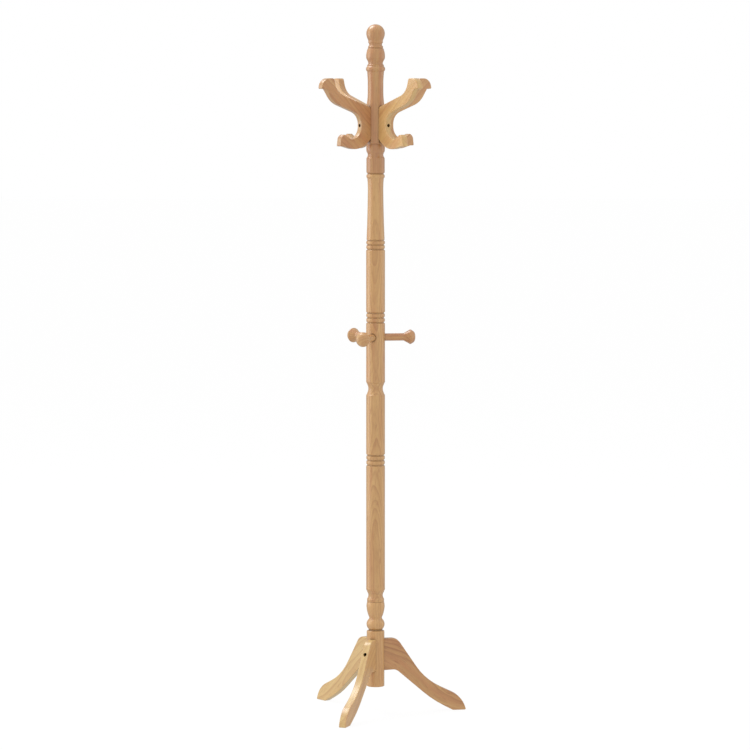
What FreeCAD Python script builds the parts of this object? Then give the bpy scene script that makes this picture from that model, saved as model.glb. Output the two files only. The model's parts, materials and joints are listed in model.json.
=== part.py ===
import FreeCAD, Part
import math
import os

# Standing coat rack in turned and sawn wood, in millimetres, +Z up.
# The origin is on the floor, on the post's axis. The hooks point along +X, +Y, -X and -Y.

# Driving dimensions
TOTAL_HEIGHT = 1830.0
UPPER_JOINT_Z = 1438.0
LOWER_JOINT_Z = 298.0
POST_BOTTOM_Z = 70.0
POST_RADIUS = 25.0
BASE_RADIUS = 23.7

HOOK_ANGLES = {"right": 0.0, "back": 90.0, "left": 180.0, "front": 270.0}
HOOK_THICKNESS = 18.0
HOOK_SEAT = 23.4
HOOK_SCREW_Z = 1564.8
HOOK_DOWEL_HEIGHTS = (1541.0, 1588.0)
HOOK_BLOCK_BOTTOM_Z = 1516.5
HOOK_FLAT_HEIGHT = 120.0

LEG_ANGLES = {"right": 330.0, "back": 90.0, "left": 210.0}
LEG_THICKNESS = 19.0
LEG_SEAT = 21.7
LEG_TOP_Z = 198.5
LEG_REACH = 245.0
LEG_BOLT_Z = 166.5
LEG_DOWEL_Z = 136.0

PEG_ANGLES = LEG_ANGLES
PEG_Z = 1005.0
PEG_SHAFT_RADIUS = 9.8
PEG_SEAT = 16.0
PEG_BORE_RADIUS = 10.6
PEG_END_ROUNDING = 0.6

EDGE_ROUNDING = 2.0

# Hardware, with threads left out: every hole is wider than what it holds by FIT all round.
FIT = 0.05
HOOK_SCREW_RADIUS = 2.1
HOOK_SCREW_LENGTH = 33.0
HOOK_SCREW_POINT_LENGTH = 7.0
HOOK_SCREW_TIP_RADIUS = 0.4
HOOK_SCREW_HEAD_RADIUS = 4.1
HOOK_SCREW_HEAD_HEIGHT = 3.0
HOOK_SCREW_HEAD_ROUNDING = 1.2
HOOK_SCREW_CROSS_LENGTH = 4.2
HOOK_SCREW_CROSS_WIDTH = 1.0
HOOK_SCREW_CROSS_DEPTH = 1.6
HOOK_SCREW_SEAT = 37.0
HOOK_COUNTERBORE_RADIUS = 4.5
HOOK_COUNTERBORE_LENGTH = 25.0
HOOK_DOWEL_RADIUS = 3.0
HOOK_DOWEL_LENGTH = 20.0

LEG_BOLT_RADIUS = 2.5
LEG_BOLT_LENGTH = 45.0
LEG_BOLT_HEAD_RADIUS = 4.1
LEG_BOLT_HEAD_HEIGHT = 5.0
LEG_BOLT_HEAD_ROUNDING = 0.5
LEG_BOLT_SOCKET_CORNER = 2.3
LEG_BOLT_SOCKET_DEPTH = 2.5
HEXAGON_SIDES = 6
LEG_BOLT_SEAT = 53.0
LEG_COUNTERBORE_RADIUS = 4.4
LEG_COUNTERBORE_LENGTH = 40.0
LEG_INSERT_RADIUS = 4.5
LEG_INSERT_LENGTH = 13.0
LEG_DOWEL_RADIUS = 4.0
LEG_DOWEL_LENGTH = 26.0
WOOD_DOWEL_CHAMFER = 0.8

PEG_SCREW_RADIUS = 2.5
PEG_SCREW_LENGTH = 34.0
PEG_SCREW_START = 5.0
PEG_SCREW_CHAMFER = 0.8

STUD_RADIUS = 4.0
STUD_UP = 36.0
STUD_DOWN = 26.0
STUD_CLEARANCE = 3.0
STUD_CHAMFER = 1.0
STUD_INSERT_RADIUS = 6.5
STUD_INSERT_LENGTH = 20.0

# Groove bands: round-bottomed grooves with a bead between each two.
GROOVE_HALF_WIDTH = 1.9
GROOVE_DEPTH = 1.9
GROOVE_LIP_RADIUS = 24.1
GROOVE_LIP_LENGTH = 2.6
GROOVE_LIP_BULGE = 0.3
BEAD_BULGE = 0.6

# Blocks and bores that cut from outside start this far past the surface they open.
CUT_MARGIN = 10.0

# Lengths under this count as nothing.
TOUCHING = 1e-6

# Turned profiles, from the bottom up. Each point is (radius, height, bulge), where bulge is how far
# the stretch that ends at the point bows outwards from a straight line. A negative bulge is a hollow,
# and DOME stands for the last stretch of a rounded end, which is part of a sphere about the axis.
DOME = "dome"
LOWER_PROFILE = (
    (21.7, POST_BOTTOM_Z, 0),
    (BASE_RADIUS, POST_BOTTOM_Z + 2, 0.6),
    (BASE_RADIUS, 217, 0),
    (21.9, 220, 0.6),
    (20.6, 220.8, 0),
    (17.6, 221.2, 0),
    (17.6, 223.2, 0),
    (19.3, 224.6, 0),
    (24.2, 238.4, 1.35),
    (17.3, 251.8, 1.4),
    (17.2, 256.2, -0.3),
    (21.5, 268, 0.3),
    (24.4, 285.5, 0.35),
    (22.9, 297.2, 0.3),
    (21.9, LOWER_JOINT_Z, 0),
)
MIDDLE_PROFILE_FOOT = (
    (21.9, LOWER_JOINT_Z, 0),
    (22.8, 298.7, 0.1),
    (22.8, 303.9, 0),
    (22.3, 305.9, 0.2),
    (22.5, 324.4, -3.1),
    (22.6, 326.9, 0),
    (POST_RADIUS, 334.5, 1.1),
)
MIDDLE_PROFILE_COVE = (
    (POST_RADIUS, 849.5, 0),
    (23, 853.6, 0.7),
    (22.4, 856.5, 0),
    (22.5, 880.5, -3.2),
    (22.9, 883, 0),
    (POST_RADIUS, 887.2, 0.7),
)
MIDDLE_PROFILE_NECK = (
    (20.4, 1395, -0.55),
    (21.8, 1425.2, -0.4),
    (22.6, 1426.4, 0),
    (21.5, 1436.6, 2.3),
    (21, UPPER_JOINT_Z, 0),
)
LOW_BAND = (664.8, 677.8, 690.8)
MID_BAND = (1044.4, 1057, 1069.5)
HIGH_BAND = (1238.2, 1250.1, 1261.9)
HIGH_BAND_EXIT = (23.8, 1264.9, 0.1)
UPPER_PROFILE = (
    (21, UPPER_JOINT_Z, 0),
    (24.2, 1443.5, 1),
    (24.2, 1476.6, 0),
    (23, 1480.4, 0.4),
    (23.7, 1495.2, -2.7),
    (23.6, 1513, 1.1),
    (22.4, 1514.4, 0),
    (22.4, HOOK_BLOCK_BOTTOM_Z, 0),
    (POST_RADIUS, 1519.6, 0.7),
    (POST_RADIUS, 1611.5, 0),
    (20.5, 1652, -1.14),
    (20.5, 1680, 0),
    (22.1, 1704.5, -0.15),
    (21.9, 1705.7, 0),
    (21.6, 1720, 3.6),
    (22, 1721.2, 0),
    (21.8, 1723.4, 0.2),
    (19, 1727.6, -0.5),
    (22.9, 1737.3, -0.5),
    (24.85, 1743.5, 0.4),
    (20.7, 1766.6, 1.3),
    (18.9, 1767.4, 0),
    (19.8, 1768.4, 0),
    (19.2, 1772.4, 0.4),
    (18.9, 1781, -2.1),
    (19.4, 1781.8, 0),
    (19.1, 1787.4, 0),
    (24.4, 1803.5, 0.8),
    (0, TOTAL_HEIGHT, DOME),
)

# Outlines in the plane through the post's axis. Each corner is (distance from the axis, height,
# rounding radius), and neighbouring roundings meet in straight stretches.
HOOK_OUTLINE = (
    (HOOK_SEAT, 1612.8, 9),
    (135, 1650.5, 45),
    (145.3, 1688.4, 7),
    (180, 1688.4, 25),
    (185.4, 1661.2, 2.6),
    (169.8, 1660, 2),
    (146, 1624.8, 60),
    (54, 1591.5, 34),
    (54, 1529.5, 32.5),
    (89.6, 1529.5, 8),
    (111, 1542.8, 6),
    (121.3, 1535, 14),
    (124.4, 1510.9, 2.6),
    (112.8, 1510.9, 2),
    (56, 1496, 64),
    (HOOK_SEAT, 1528.6, 2.6),
)
LEG_OUTLINE = (
    (LEG_SEAT, LEG_TOP_Z, 0),
    (57.2, LEG_TOP_Z, 28),
    (135.5, 82.6, 172),
    (233.7, 35.8, 68),
    (LEG_REACH, 0, 3),
    (209, 0, 3),
    (154.5, 28.4, 300),
    (54.5, 114.6, 22),
    (LEG_SEAT, 113, 0),
)

# Peg profile, (distance from the post's axis, radius, bulge), from its seat in the bore to its tip.
PEG_PROFILE = (
    (PEG_SEAT, PEG_SHAFT_RADIUS - PEG_END_ROUNDING, 0),
    (PEG_SEAT + PEG_END_ROUNDING, PEG_SHAFT_RADIUS, 0.1),
    (74, PEG_SHAFT_RADIUS, 0),
    (77, 10.8, -0.3),
    (89.5, 17.6, 0),
    (97, 17.5, 1.8),
    (105, 10, 1.2),
    (106.5, 0, DOME),
)


def bulge_of(start, end):
    """Bulge of the stretch between two profile points."""
    if end[2] != DOME:
        return end[2]
    rise = abs(end[1] - start[1])
    chord = math.hypot(start[0], rise)
    sphere = chord ** 2 / (2 * rise)
    return sphere - math.sqrt(sphere ** 2 - chord ** 2 / 4)


def lathe_points_to_wire(points, place):
    """Closed wire of a turned profile. place turns (radius, distance along the axis) into a point."""
    edges = []
    first = points[0]
    edges.append(Part.LineSegment(place(0, first[1]), place(first[0], first[1])).toShape())
    for start, end in zip(points, points[1:]):
        a = place(start[0], start[1])
        b = place(end[0], end[1])
        bulge = bulge_of(start, end)
        if bulge == 0:
            edges.append(Part.LineSegment(a, b).toShape())
            continue
        along = math.hypot(end[0] - start[0], end[1] - start[1])
        out_radial = (end[1] - start[1]) / along
        out_axial = -(end[0] - start[0]) / along
        mid_radius = (start[0] + end[0]) / 2 + out_radial * bulge
        mid_axial = (start[1] + end[1]) / 2 + out_axial * bulge
        edges.append(Part.Arc(a, place(mid_radius, mid_axial), b).toShape())
    last = points[-1]
    if last[0] > 0:
        edges.append(Part.LineSegment(place(last[0], last[1]), place(0, last[1])).toShape())
    edges.append(Part.LineSegment(place(0, last[1]), place(0, first[1])).toShape())
    return Part.Wire(edges)


def turned_post(points):
    """Solid of revolution about Z from a profile of (radius, height, bulge)."""
    wire = lathe_points_to_wire(points, lambda r, z: FreeCAD.Vector(r, 0, z))
    return Part.Face(wire).revolve(FreeCAD.Vector(0, 0, 0), FreeCAD.Vector(0, 0, 1), 360)


def rod(radius, start, length, height):
    """Cylinder lying along +X from x = start, with its axis at z = height."""
    base = FreeCAD.Vector(start, 0, height)
    return Part.makeCylinder(radius, length, base, FreeCAD.Vector(1, 0, 0))


def upright(radius, bottom, length):
    """Cylinder on the post's axis."""
    return Part.makeCylinder(radius, length, FreeCAD.Vector(0, 0, bottom))


def round_edges(cylinder):
    """The two circular edges of a cylinder."""
    return [edge for edge in cylinder.Edges if len(edge.Vertexes) == 1]


def outer_edge(head, seat):
    """The circular edge of a screw head that lies on the far side from its seat."""
    return [edge for edge in round_edges(head) if edge.BoundBox.XMin > seat + FIT]


def turn(shape, angle):
    """Copy of a shape turned about the post's axis."""
    copy = shape.copy()
    copy.rotate(FreeCAD.Vector(0, 0, 0), FreeCAD.Vector(0, 0, 1), angle)
    return copy


def turned_copies(shapes, angles):
    """Every shape at every angle, as one list."""
    return [turn(shape, angle) for angle in angles.values() for shape in shapes]


def cut_all(shape, tools):
    """The shape with every tool cut out of it."""
    for tool in tools:
        shape = shape.cut(tool)
    return shape


def rounded_wire(corners):
    """Closed wire in the XZ plane through corners of (x, z, rounding radius)."""
    starts = []
    count = len(corners)
    for i, (x, z, radius) in enumerate(corners):
        corner = FreeCAD.Vector(x, 0, z)
        before = corners[i - 1]
        after = corners[(i + 1) % count]
        to_before = (FreeCAD.Vector(before[0], 0, before[1]) - corner).normalize()
        to_after = (FreeCAD.Vector(after[0], 0, after[1]) - corner).normalize()
        if radius == 0:
            starts.append((corner, corner, corner))
            continue
        half = to_before.getAngle(to_after) / 2
        reach = radius / math.tan(half)
        inward = (to_before + to_after).normalize()
        middle = corner + inward * (radius / math.sin(half) - radius)
        starts.append((corner + to_before * reach, middle, corner + to_after * reach))
    edges = []
    for i, (enter, middle, leave) in enumerate(starts):
        if (leave - enter).Length > 0:
            edges.append(Part.Arc(enter, middle, leave).toShape())
        following = starts[(i + 1) % count][0]
        edges.append(Part.LineSegment(leave, following).toShape())
    return Part.Wire(edges)


def sawn_board(corners, thickness, seat):
    """Board sawn to an outline, centred on the XZ plane, with its long edges rounded off.
    The edges of the face that seats on the post, at x = seat, stay square."""
    face = Part.Face(rounded_wire(corners))
    face.translate(FreeCAD.Vector(0, -thickness / 2, 0))
    board = face.extrude(FreeCAD.Vector(0, thickness, 0))
    rounded = []
    for edge in board.Edges:
        box = edge.BoundBox
        on_side = box.YLength < TOUCHING
        on_seat = box.XMax < seat + TOUCHING
        if on_side and not on_seat:
            rounded.append(edge)
    return board.makeFillet(EDGE_ROUNDING, rounded)


def groove_band(heights):
    """Profile points of a band of grooves, entered and left on rounded lips."""
    points = [(POST_RADIUS, heights[0] - GROOVE_HALF_WIDTH - GROOVE_LIP_LENGTH, 0)]
    bulge = GROOVE_LIP_BULGE
    for height in heights:
        points.append((GROOVE_LIP_RADIUS, height - GROOVE_HALF_WIDTH, bulge))
        points.append((GROOVE_LIP_RADIUS, height + GROOVE_HALF_WIDTH, -GROOVE_DEPTH))
        bulge = BEAD_BULGE
    return points


def band_exit(heights):
    """Profile point where the post is back at its full radius above a band of grooves."""
    height = heights[-1] + GROOVE_HALF_WIDTH + GROOVE_LIP_LENGTH
    return (POST_RADIUS, height, GROOVE_LIP_BULGE)


def middle_profile():
    """Whole profile of the middle post: foot, low band, cove, two more bands and neck."""
    points = list(MIDDLE_PROFILE_FOOT)
    points += groove_band(LOW_BAND)
    points.append(band_exit(LOW_BAND))
    points += MIDDLE_PROFILE_COVE
    points += groove_band(MID_BAND)
    points.append(band_exit(MID_BAND))
    points += groove_band(HIGH_BAND)
    points.append(HIGH_BAND_EXIT)
    points += MIDDLE_PROFILE_NECK
    return points


def stud(joint_z):
    """Double-ended screw that stands in the upper section and runs down into the insert below."""
    body = upright(STUD_RADIUS, joint_z - STUD_DOWN, STUD_DOWN + STUD_UP)
    return body.makeChamfer(STUD_CHAMFER, round_edges(body))


def stud_insert(joint_z):
    """Threaded insert, flush with the top end of the section that holds it."""
    bottom = joint_z - STUD_INSERT_LENGTH
    sleeve = upright(STUD_INSERT_RADIUS, bottom, STUD_INSERT_LENGTH)
    return sleeve.cut(upright(STUD_RADIUS + FIT, bottom, STUD_INSERT_LENGTH))


def stud_hole_above(joint_z):
    """Blind hole for the stud in the section above a joint."""
    return upright(STUD_RADIUS + FIT, joint_z, STUD_UP)


def stud_holes_below(joint_z):
    """Insert pocket and the deeper hole under it in the section below a joint."""
    pocket = upright(STUD_INSERT_RADIUS + FIT, joint_z - STUD_INSERT_LENGTH, STUD_INSERT_LENGTH)
    depth = STUD_DOWN + STUD_CLEARANCE
    return [pocket, upright(STUD_RADIUS + FIT, joint_z - depth, depth)]


def hook_screw():
    """Pan-head wood screw with a pointed end and a cross recess."""
    tip = HOOK_SCREW_SEAT - HOOK_SCREW_LENGTH
    shoulder = tip + HOOK_SCREW_POINT_LENGTH
    shank = rod(HOOK_SCREW_RADIUS, shoulder, HOOK_SCREW_SEAT - shoulder, HOOK_SCREW_Z)
    point = Part.makeCone(
        HOOK_SCREW_TIP_RADIUS, HOOK_SCREW_RADIUS, HOOK_SCREW_POINT_LENGTH,
        FreeCAD.Vector(tip, 0, HOOK_SCREW_Z), FreeCAD.Vector(1, 0, 0),
    )
    head = rod(HOOK_SCREW_HEAD_RADIUS, HOOK_SCREW_SEAT, HOOK_SCREW_HEAD_HEIGHT, HOOK_SCREW_Z)
    head = head.makeFillet(HOOK_SCREW_HEAD_ROUNDING, outer_edge(head, HOOK_SCREW_SEAT))
    screw = shank.fuse([point, head]).removeSplitter()
    floor = HOOK_SCREW_SEAT + HOOK_SCREW_HEAD_HEIGHT - HOOK_SCREW_CROSS_DEPTH
    length = HOOK_SCREW_CROSS_LENGTH
    width = HOOK_SCREW_CROSS_WIDTH
    for across, upwards in ((width, length), (length, width)):
        corner = FreeCAD.Vector(floor, -across / 2, HOOK_SCREW_Z - upwards / 2)
        screw = screw.cut(Part.makeBox(HOOK_SCREW_HEAD_HEIGHT, across, upwards, corner))
    return screw


def leg_bolt():
    """Cap screw with a hexagon socket in its head."""
    shank = rod(LEG_BOLT_RADIUS, LEG_BOLT_SEAT - LEG_BOLT_LENGTH, LEG_BOLT_LENGTH, LEG_BOLT_Z)
    head = rod(LEG_BOLT_HEAD_RADIUS, LEG_BOLT_SEAT, LEG_BOLT_HEAD_HEIGHT, LEG_BOLT_Z)
    head = head.makeFillet(LEG_BOLT_HEAD_ROUNDING, outer_edge(head, LEG_BOLT_SEAT))
    bolt = shank.fuse(head)
    x = LEG_BOLT_SEAT + LEG_BOLT_HEAD_HEIGHT - LEG_BOLT_SOCKET_DEPTH
    corners = []
    for i in range(HEXAGON_SIDES + 1):
        a = 2 * math.pi * i / HEXAGON_SIDES
        y = LEG_BOLT_SOCKET_CORNER * math.cos(a)
        z = LEG_BOLT_Z + LEG_BOLT_SOCKET_CORNER * math.sin(a)
        corners.append(FreeCAD.Vector(x, y, z))
    hexagon = Part.Face(Part.makePolygon(corners))
    return bolt.cut(hexagon.extrude(FreeCAD.Vector(LEG_BOLT_SOCKET_DEPTH, 0, 0)))


def leg_insert():
    """Threaded insert, flush with the leg's seat in the post."""
    start = LEG_SEAT - LEG_INSERT_LENGTH
    sleeve = rod(LEG_INSERT_RADIUS, start, LEG_INSERT_LENGTH, LEG_BOLT_Z)
    return sleeve.cut(rod(LEG_BOLT_RADIUS + FIT, start, LEG_INSERT_LENGTH, LEG_BOLT_Z))


def dowel(radius, length, seat, height):
    """Wooden dowel, half in the post and half in the piece that seats on it."""
    body = rod(radius, seat - length / 2, length, height)
    return body.makeChamfer(WOOD_DOWEL_CHAMFER, round_edges(body))


def clearance_hole(radius, seat, head_seat, height):
    """Hole for a screw's shank, from outside a board's seat to where the screw's head sits."""
    start = seat - CUT_MARGIN
    return rod(radius + FIT, start, head_seat - start, height)


def dowel_hole(radius, length, seat, height):
    """Hole for a dowel, through both pieces, as deep as the dowel is long."""
    return rod(radius + FIT, seat - length / 2, length, height)


def peg_screw():
    """Headless double-ended screw that holds a peg to the post."""
    body = rod(PEG_SCREW_RADIUS, PEG_SCREW_START, PEG_SCREW_LENGTH, PEG_Z)
    return body.makeChamfer(PEG_SCREW_CHAMFER, round_edges(body))


def peg_screw_hole():
    """Hole for the peg screw, in the post and in the peg."""
    return rod(PEG_SCREW_RADIUS + FIT, PEG_SCREW_START, PEG_SCREW_LENGTH, PEG_Z)


def hook():
    """Double coat hook that points along +X: a long upper arm over a short lower arm."""
    board = sawn_board(HOOK_OUTLINE, HOOK_THICKNESS, HOOK_SEAT)
    tools = [
        clearance_hole(HOOK_SCREW_RADIUS, HOOK_SEAT, HOOK_SCREW_SEAT, HOOK_SCREW_Z),
        rod(HOOK_COUNTERBORE_RADIUS, HOOK_SCREW_SEAT, HOOK_COUNTERBORE_LENGTH, HOOK_SCREW_Z),
    ]
    for height in HOOK_DOWEL_HEIGHTS:
        tools.append(dowel_hole(HOOK_DOWEL_RADIUS, HOOK_DOWEL_LENGTH, HOOK_SEAT, height))
    return cut_all(board, tools)


def leg():
    """Curved leg that points along +X and lands on a flat sole."""
    board = sawn_board(LEG_OUTLINE, LEG_THICKNESS, LEG_SEAT)
    tools = [
        clearance_hole(LEG_BOLT_RADIUS, LEG_SEAT, LEG_BOLT_SEAT, LEG_BOLT_Z),
        rod(LEG_COUNTERBORE_RADIUS, LEG_BOLT_SEAT, LEG_COUNTERBORE_LENGTH, LEG_BOLT_Z),
        dowel_hole(LEG_DOWEL_RADIUS, LEG_DOWEL_LENGTH, LEG_SEAT, LEG_DOWEL_Z),
    ]
    return cut_all(board, tools)


def peg():
    """Turned peg that points along +X and seats in a blind bore in the post."""
    points = [(radius, x, bulge) for x, radius, bulge in PEG_PROFILE]
    wire = lathe_points_to_wire(points, lambda r, x: FreeCAD.Vector(x, 0, PEG_Z + r))
    axis_point = FreeCAD.Vector(0, 0, PEG_Z)
    body = Part.Face(wire).revolve(axis_point, FreeCAD.Vector(1, 0, 0), 360)
    return body.cut(peg_screw_hole())


def hook_flat():
    """Block that cuts one hook's flat on the upper post. It runs out where the neck narrows."""
    corner = FreeCAD.Vector(HOOK_SEAT, -POST_RADIUS, HOOK_BLOCK_BOTTOM_Z)
    return Part.makeBox(CUT_MARGIN, 2 * POST_RADIUS, HOOK_FLAT_HEIGHT, corner)


def leg_housing():
    """Shallow housing in the lower post that a leg's end drops into."""
    bottom = LEG_OUTLINE[-1][1]
    corner = FreeCAD.Vector(LEG_SEAT, -LEG_THICKNESS / 2, bottom)
    return Part.makeBox(CUT_MARGIN, LEG_THICKNESS, LEG_TOP_Z - bottom, corner)


def upper_post():
    """Top section with the ball finial, the vase and the block that carries the hooks."""
    tools = [hook_flat()]
    screw_start = HOOK_SCREW_SEAT - HOOK_SCREW_LENGTH
    tools.append(rod(HOOK_SCREW_RADIUS + FIT, screw_start, HOOK_SCREW_LENGTH, HOOK_SCREW_Z))
    for height in HOOK_DOWEL_HEIGHTS:
        tools.append(dowel_hole(HOOK_DOWEL_RADIUS, HOOK_DOWEL_LENGTH, HOOK_SEAT, height))
    post = cut_all(turned_post(UPPER_PROFILE), turned_copies(tools, HOOK_ANGLES))
    return post.cut(stud_hole_above(UPPER_JOINT_Z))


def middle_post():
    """Long section with three bands of grooves, a cove, and the bores for the pegs."""
    bore = rod(PEG_BORE_RADIUS, PEG_SEAT, POST_RADIUS + CUT_MARGIN - PEG_SEAT, PEG_Z)
    tools = turned_copies([bore, peg_screw_hole()], PEG_ANGLES)
    tools += stud_holes_below(UPPER_JOINT_Z)
    tools.append(stud_hole_above(LOWER_JOINT_Z))
    return cut_all(turned_post(middle_profile()), tools)


def lower_post():
    """Base section with a small vase and a ball over the plain barrel that carries the legs."""
    tools = [
        leg_housing(),
        rod(LEG_INSERT_RADIUS + FIT, LEG_SEAT - LEG_INSERT_LENGTH, LEG_INSERT_LENGTH, LEG_BOLT_Z),
        rod(LEG_BOLT_RADIUS + FIT, LEG_BOLT_SEAT - LEG_BOLT_LENGTH, LEG_BOLT_LENGTH, LEG_BOLT_Z),
        dowel_hole(LEG_DOWEL_RADIUS, LEG_DOWEL_LENGTH, LEG_SEAT, LEG_DOWEL_Z),
    ]
    post = cut_all(turned_post(LOWER_PROFILE), turned_copies(tools, LEG_ANGLES))
    return cut_all(post, stud_holes_below(LOWER_JOINT_Z))


def save(name, solids):
    """Writes one node. A group of identical pieces is one compound of separate solids."""
    shape = solids[0] if len(solids) == 1 else Part.makeCompound(solids)
    if len(shape.Solids) != len(solids) or not shape.isValid():
        raise ValueError(name + " is not " + str(len(solids)) + " valid solids")
    shape.exportStep("parts/" + name + ".step")


def main():
    os.makedirs("parts", exist_ok=True)
    save("upper_post", [upper_post()])
    save("middle_post", [middle_post()])
    save("lower_post", [lower_post()])
    for side, angle in HOOK_ANGLES.items():
        save("hook_" + side, [turn(hook(), angle)])
    for side, angle in LEG_ANGLES.items():
        save("leg_" + side, [turn(leg(), angle)])
    for side, angle in PEG_ANGLES.items():
        save("peg_" + side, [turn(peg(), angle)])
    hook_dowels = []
    for height in HOOK_DOWEL_HEIGHTS:
        hook_dowels.append(dowel(HOOK_DOWEL_RADIUS, HOOK_DOWEL_LENGTH, HOOK_SEAT, height))
    leg_dowel = dowel(LEG_DOWEL_RADIUS, LEG_DOWEL_LENGTH, LEG_SEAT, LEG_DOWEL_Z)
    save("hook_screws", turned_copies([hook_screw()], HOOK_ANGLES))
    save("hook_dowels", turned_copies(hook_dowels, HOOK_ANGLES))
    save("leg_bolts", turned_copies([leg_bolt()], LEG_ANGLES))
    save("leg_inserts", turned_copies([leg_insert()], LEG_ANGLES))
    save("leg_dowels", turned_copies([leg_dowel], LEG_ANGLES))
    save("peg_screws", turned_copies([peg_screw()], PEG_ANGLES))
    save("upper_joint_stud", [stud(UPPER_JOINT_Z)])
    save("upper_joint_insert", [stud_insert(UPPER_JOINT_Z)])
    save("lower_joint_stud", [stud(LOWER_JOINT_Z)])
    save("lower_joint_insert", [stud_insert(LOWER_JOINT_Z)])


main()
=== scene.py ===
import json
import math
import bmesh
import bpy
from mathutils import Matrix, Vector


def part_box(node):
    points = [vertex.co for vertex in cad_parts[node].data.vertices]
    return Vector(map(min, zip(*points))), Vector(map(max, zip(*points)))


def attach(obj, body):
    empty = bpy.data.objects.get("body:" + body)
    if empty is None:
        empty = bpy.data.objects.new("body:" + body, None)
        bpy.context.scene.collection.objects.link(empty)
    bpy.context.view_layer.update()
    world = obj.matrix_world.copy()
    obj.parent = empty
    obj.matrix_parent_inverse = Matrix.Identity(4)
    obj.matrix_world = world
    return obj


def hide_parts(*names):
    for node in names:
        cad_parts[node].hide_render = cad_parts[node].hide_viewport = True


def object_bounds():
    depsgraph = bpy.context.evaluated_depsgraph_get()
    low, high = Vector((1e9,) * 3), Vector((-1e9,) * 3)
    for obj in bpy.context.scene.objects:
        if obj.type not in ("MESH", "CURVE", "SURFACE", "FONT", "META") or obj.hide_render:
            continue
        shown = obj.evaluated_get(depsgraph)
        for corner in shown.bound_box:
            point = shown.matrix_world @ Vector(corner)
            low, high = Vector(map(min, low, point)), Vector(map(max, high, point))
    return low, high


# Standing coat rack. Finely turned and sawn wood pieces stand for the CAD nodes of the same names;
# the steel hardware and the dowels are the CAD's own. Places, profiles, outlines and bores are in
# millimetres, and MM turns them into metres. The wood, camera, lights and stage are in metres.

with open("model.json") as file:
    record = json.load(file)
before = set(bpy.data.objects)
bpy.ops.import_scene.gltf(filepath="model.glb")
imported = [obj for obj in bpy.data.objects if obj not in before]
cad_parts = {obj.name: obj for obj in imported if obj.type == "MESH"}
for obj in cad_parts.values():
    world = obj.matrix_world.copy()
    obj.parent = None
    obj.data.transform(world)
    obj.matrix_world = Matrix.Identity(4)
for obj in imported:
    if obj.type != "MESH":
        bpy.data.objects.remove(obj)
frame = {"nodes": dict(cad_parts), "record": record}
cad_low, cad_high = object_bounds()

MM = 0.001

# ---- places read from the frame -------------------------------------------------------------

POST_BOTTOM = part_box("lower_post")[0].z / MM
LOWER_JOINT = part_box("middle_post")[0].z / MM
UPPER_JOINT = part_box("upper_post")[0].z / MM
TOTAL_HEIGHT = cad_high.z / MM
HOOK_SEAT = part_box("hook_right")[0].x / MM
HOOK_THICKNESS = 2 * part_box("hook_right")[1].y / MM
LEG_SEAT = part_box("leg_back")[0].y / MM
LEG_THICKNESS = 2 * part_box("leg_back")[1].x / MM
LEG_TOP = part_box("leg_back")[1].z / MM
PEG_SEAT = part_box("peg_back")[0].y / MM
PEG_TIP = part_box("peg_back")[1].y / MM
PEG_Z = (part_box("peg_back")[0].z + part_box("peg_back")[1].z) / 2 / MM
HOOK_SCREW_Z = (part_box("hook_screws")[0].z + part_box("hook_screws")[1].z) / 2 / MM
LEG_BOLT_Z = (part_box("leg_bolts")[0].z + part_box("leg_bolts")[1].z) / 2 / MM

HOOK_ANGLES = {"right": 0, "back": 90, "left": 180, "front": 270}
LEG_ANGLES = {"right": 330, "back": 90, "left": 210}

# ---- turned profiles and sawn outlines, as in the CAD ----------------------------------------

POST_RADIUS = 25.0
BASE_RADIUS = 23.7
# Each hook sits on a flat. It starts at the round block's bottom and runs out in the taper above,
# before its cutter ends.
HOOK_FLAT_BOTTOM = 1516.5
HOOK_FLAT_TOP = 1640.0
DOME = "dome"

# Each point is (radius, height, bulge): bulge is how far the stretch that ends there bows outwards,
# a negative one is a hollow, and DOME is a spherical end.
LOWER_PROFILE = (
    (21.7, POST_BOTTOM, 0),
    (BASE_RADIUS, POST_BOTTOM + 2, 0.6),
    (BASE_RADIUS, 217, 0),
    (21.9, 220, 0.6),
    (20.6, 220.8, 0),
    (17.6, 221.2, 0),
    (17.6, 223.2, 0),
    (19.3, 224.6, 0),
    (24.2, 238.4, 1.35),
    (17.3, 251.8, 1.4),
    (17.2, 256.2, -0.3),
    (21.5, 268, 0.3),
    (24.4, 285.5, 0.35),
    (22.9, 297.2, 0.3),
    (21.9, LOWER_JOINT, 0),
)
MIDDLE_FOOT = (
    (21.9, LOWER_JOINT, 0),
    (22.8, 298.7, 0.1),
    (22.8, 303.9, 0),
    (22.3, 305.9, 0.2),
    (22.5, 324.4, -3.1),
    (22.6, 326.9, 0),
    (POST_RADIUS, 334.5, 1.1),
)
MIDDLE_COVE = (
    (POST_RADIUS, 849.5, 0),
    (23, 853.6, 0.7),
    (22.4, 856.5, 0),
    (22.5, 880.5, -3.2),
    (22.9, 883, 0),
    (POST_RADIUS, 887.2, 0.7),
)
MIDDLE_NECK = (
    (20.4, 1395, -0.55),
    (21.8, 1425.2, -0.4),
    (22.6, 1426.4, 0),
    (21.5, 1436.6, 2.3),
    (21, UPPER_JOINT, 0),
)
LOW_BAND = (664.8, 677.8, 690.8)
MID_BAND = (1044.4, 1057, 1069.5)
HIGH_BAND = (1238.2, 1250.1, 1261.9)
HIGH_BAND_EXIT = (23.8, 1264.9, 0.1)
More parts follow.
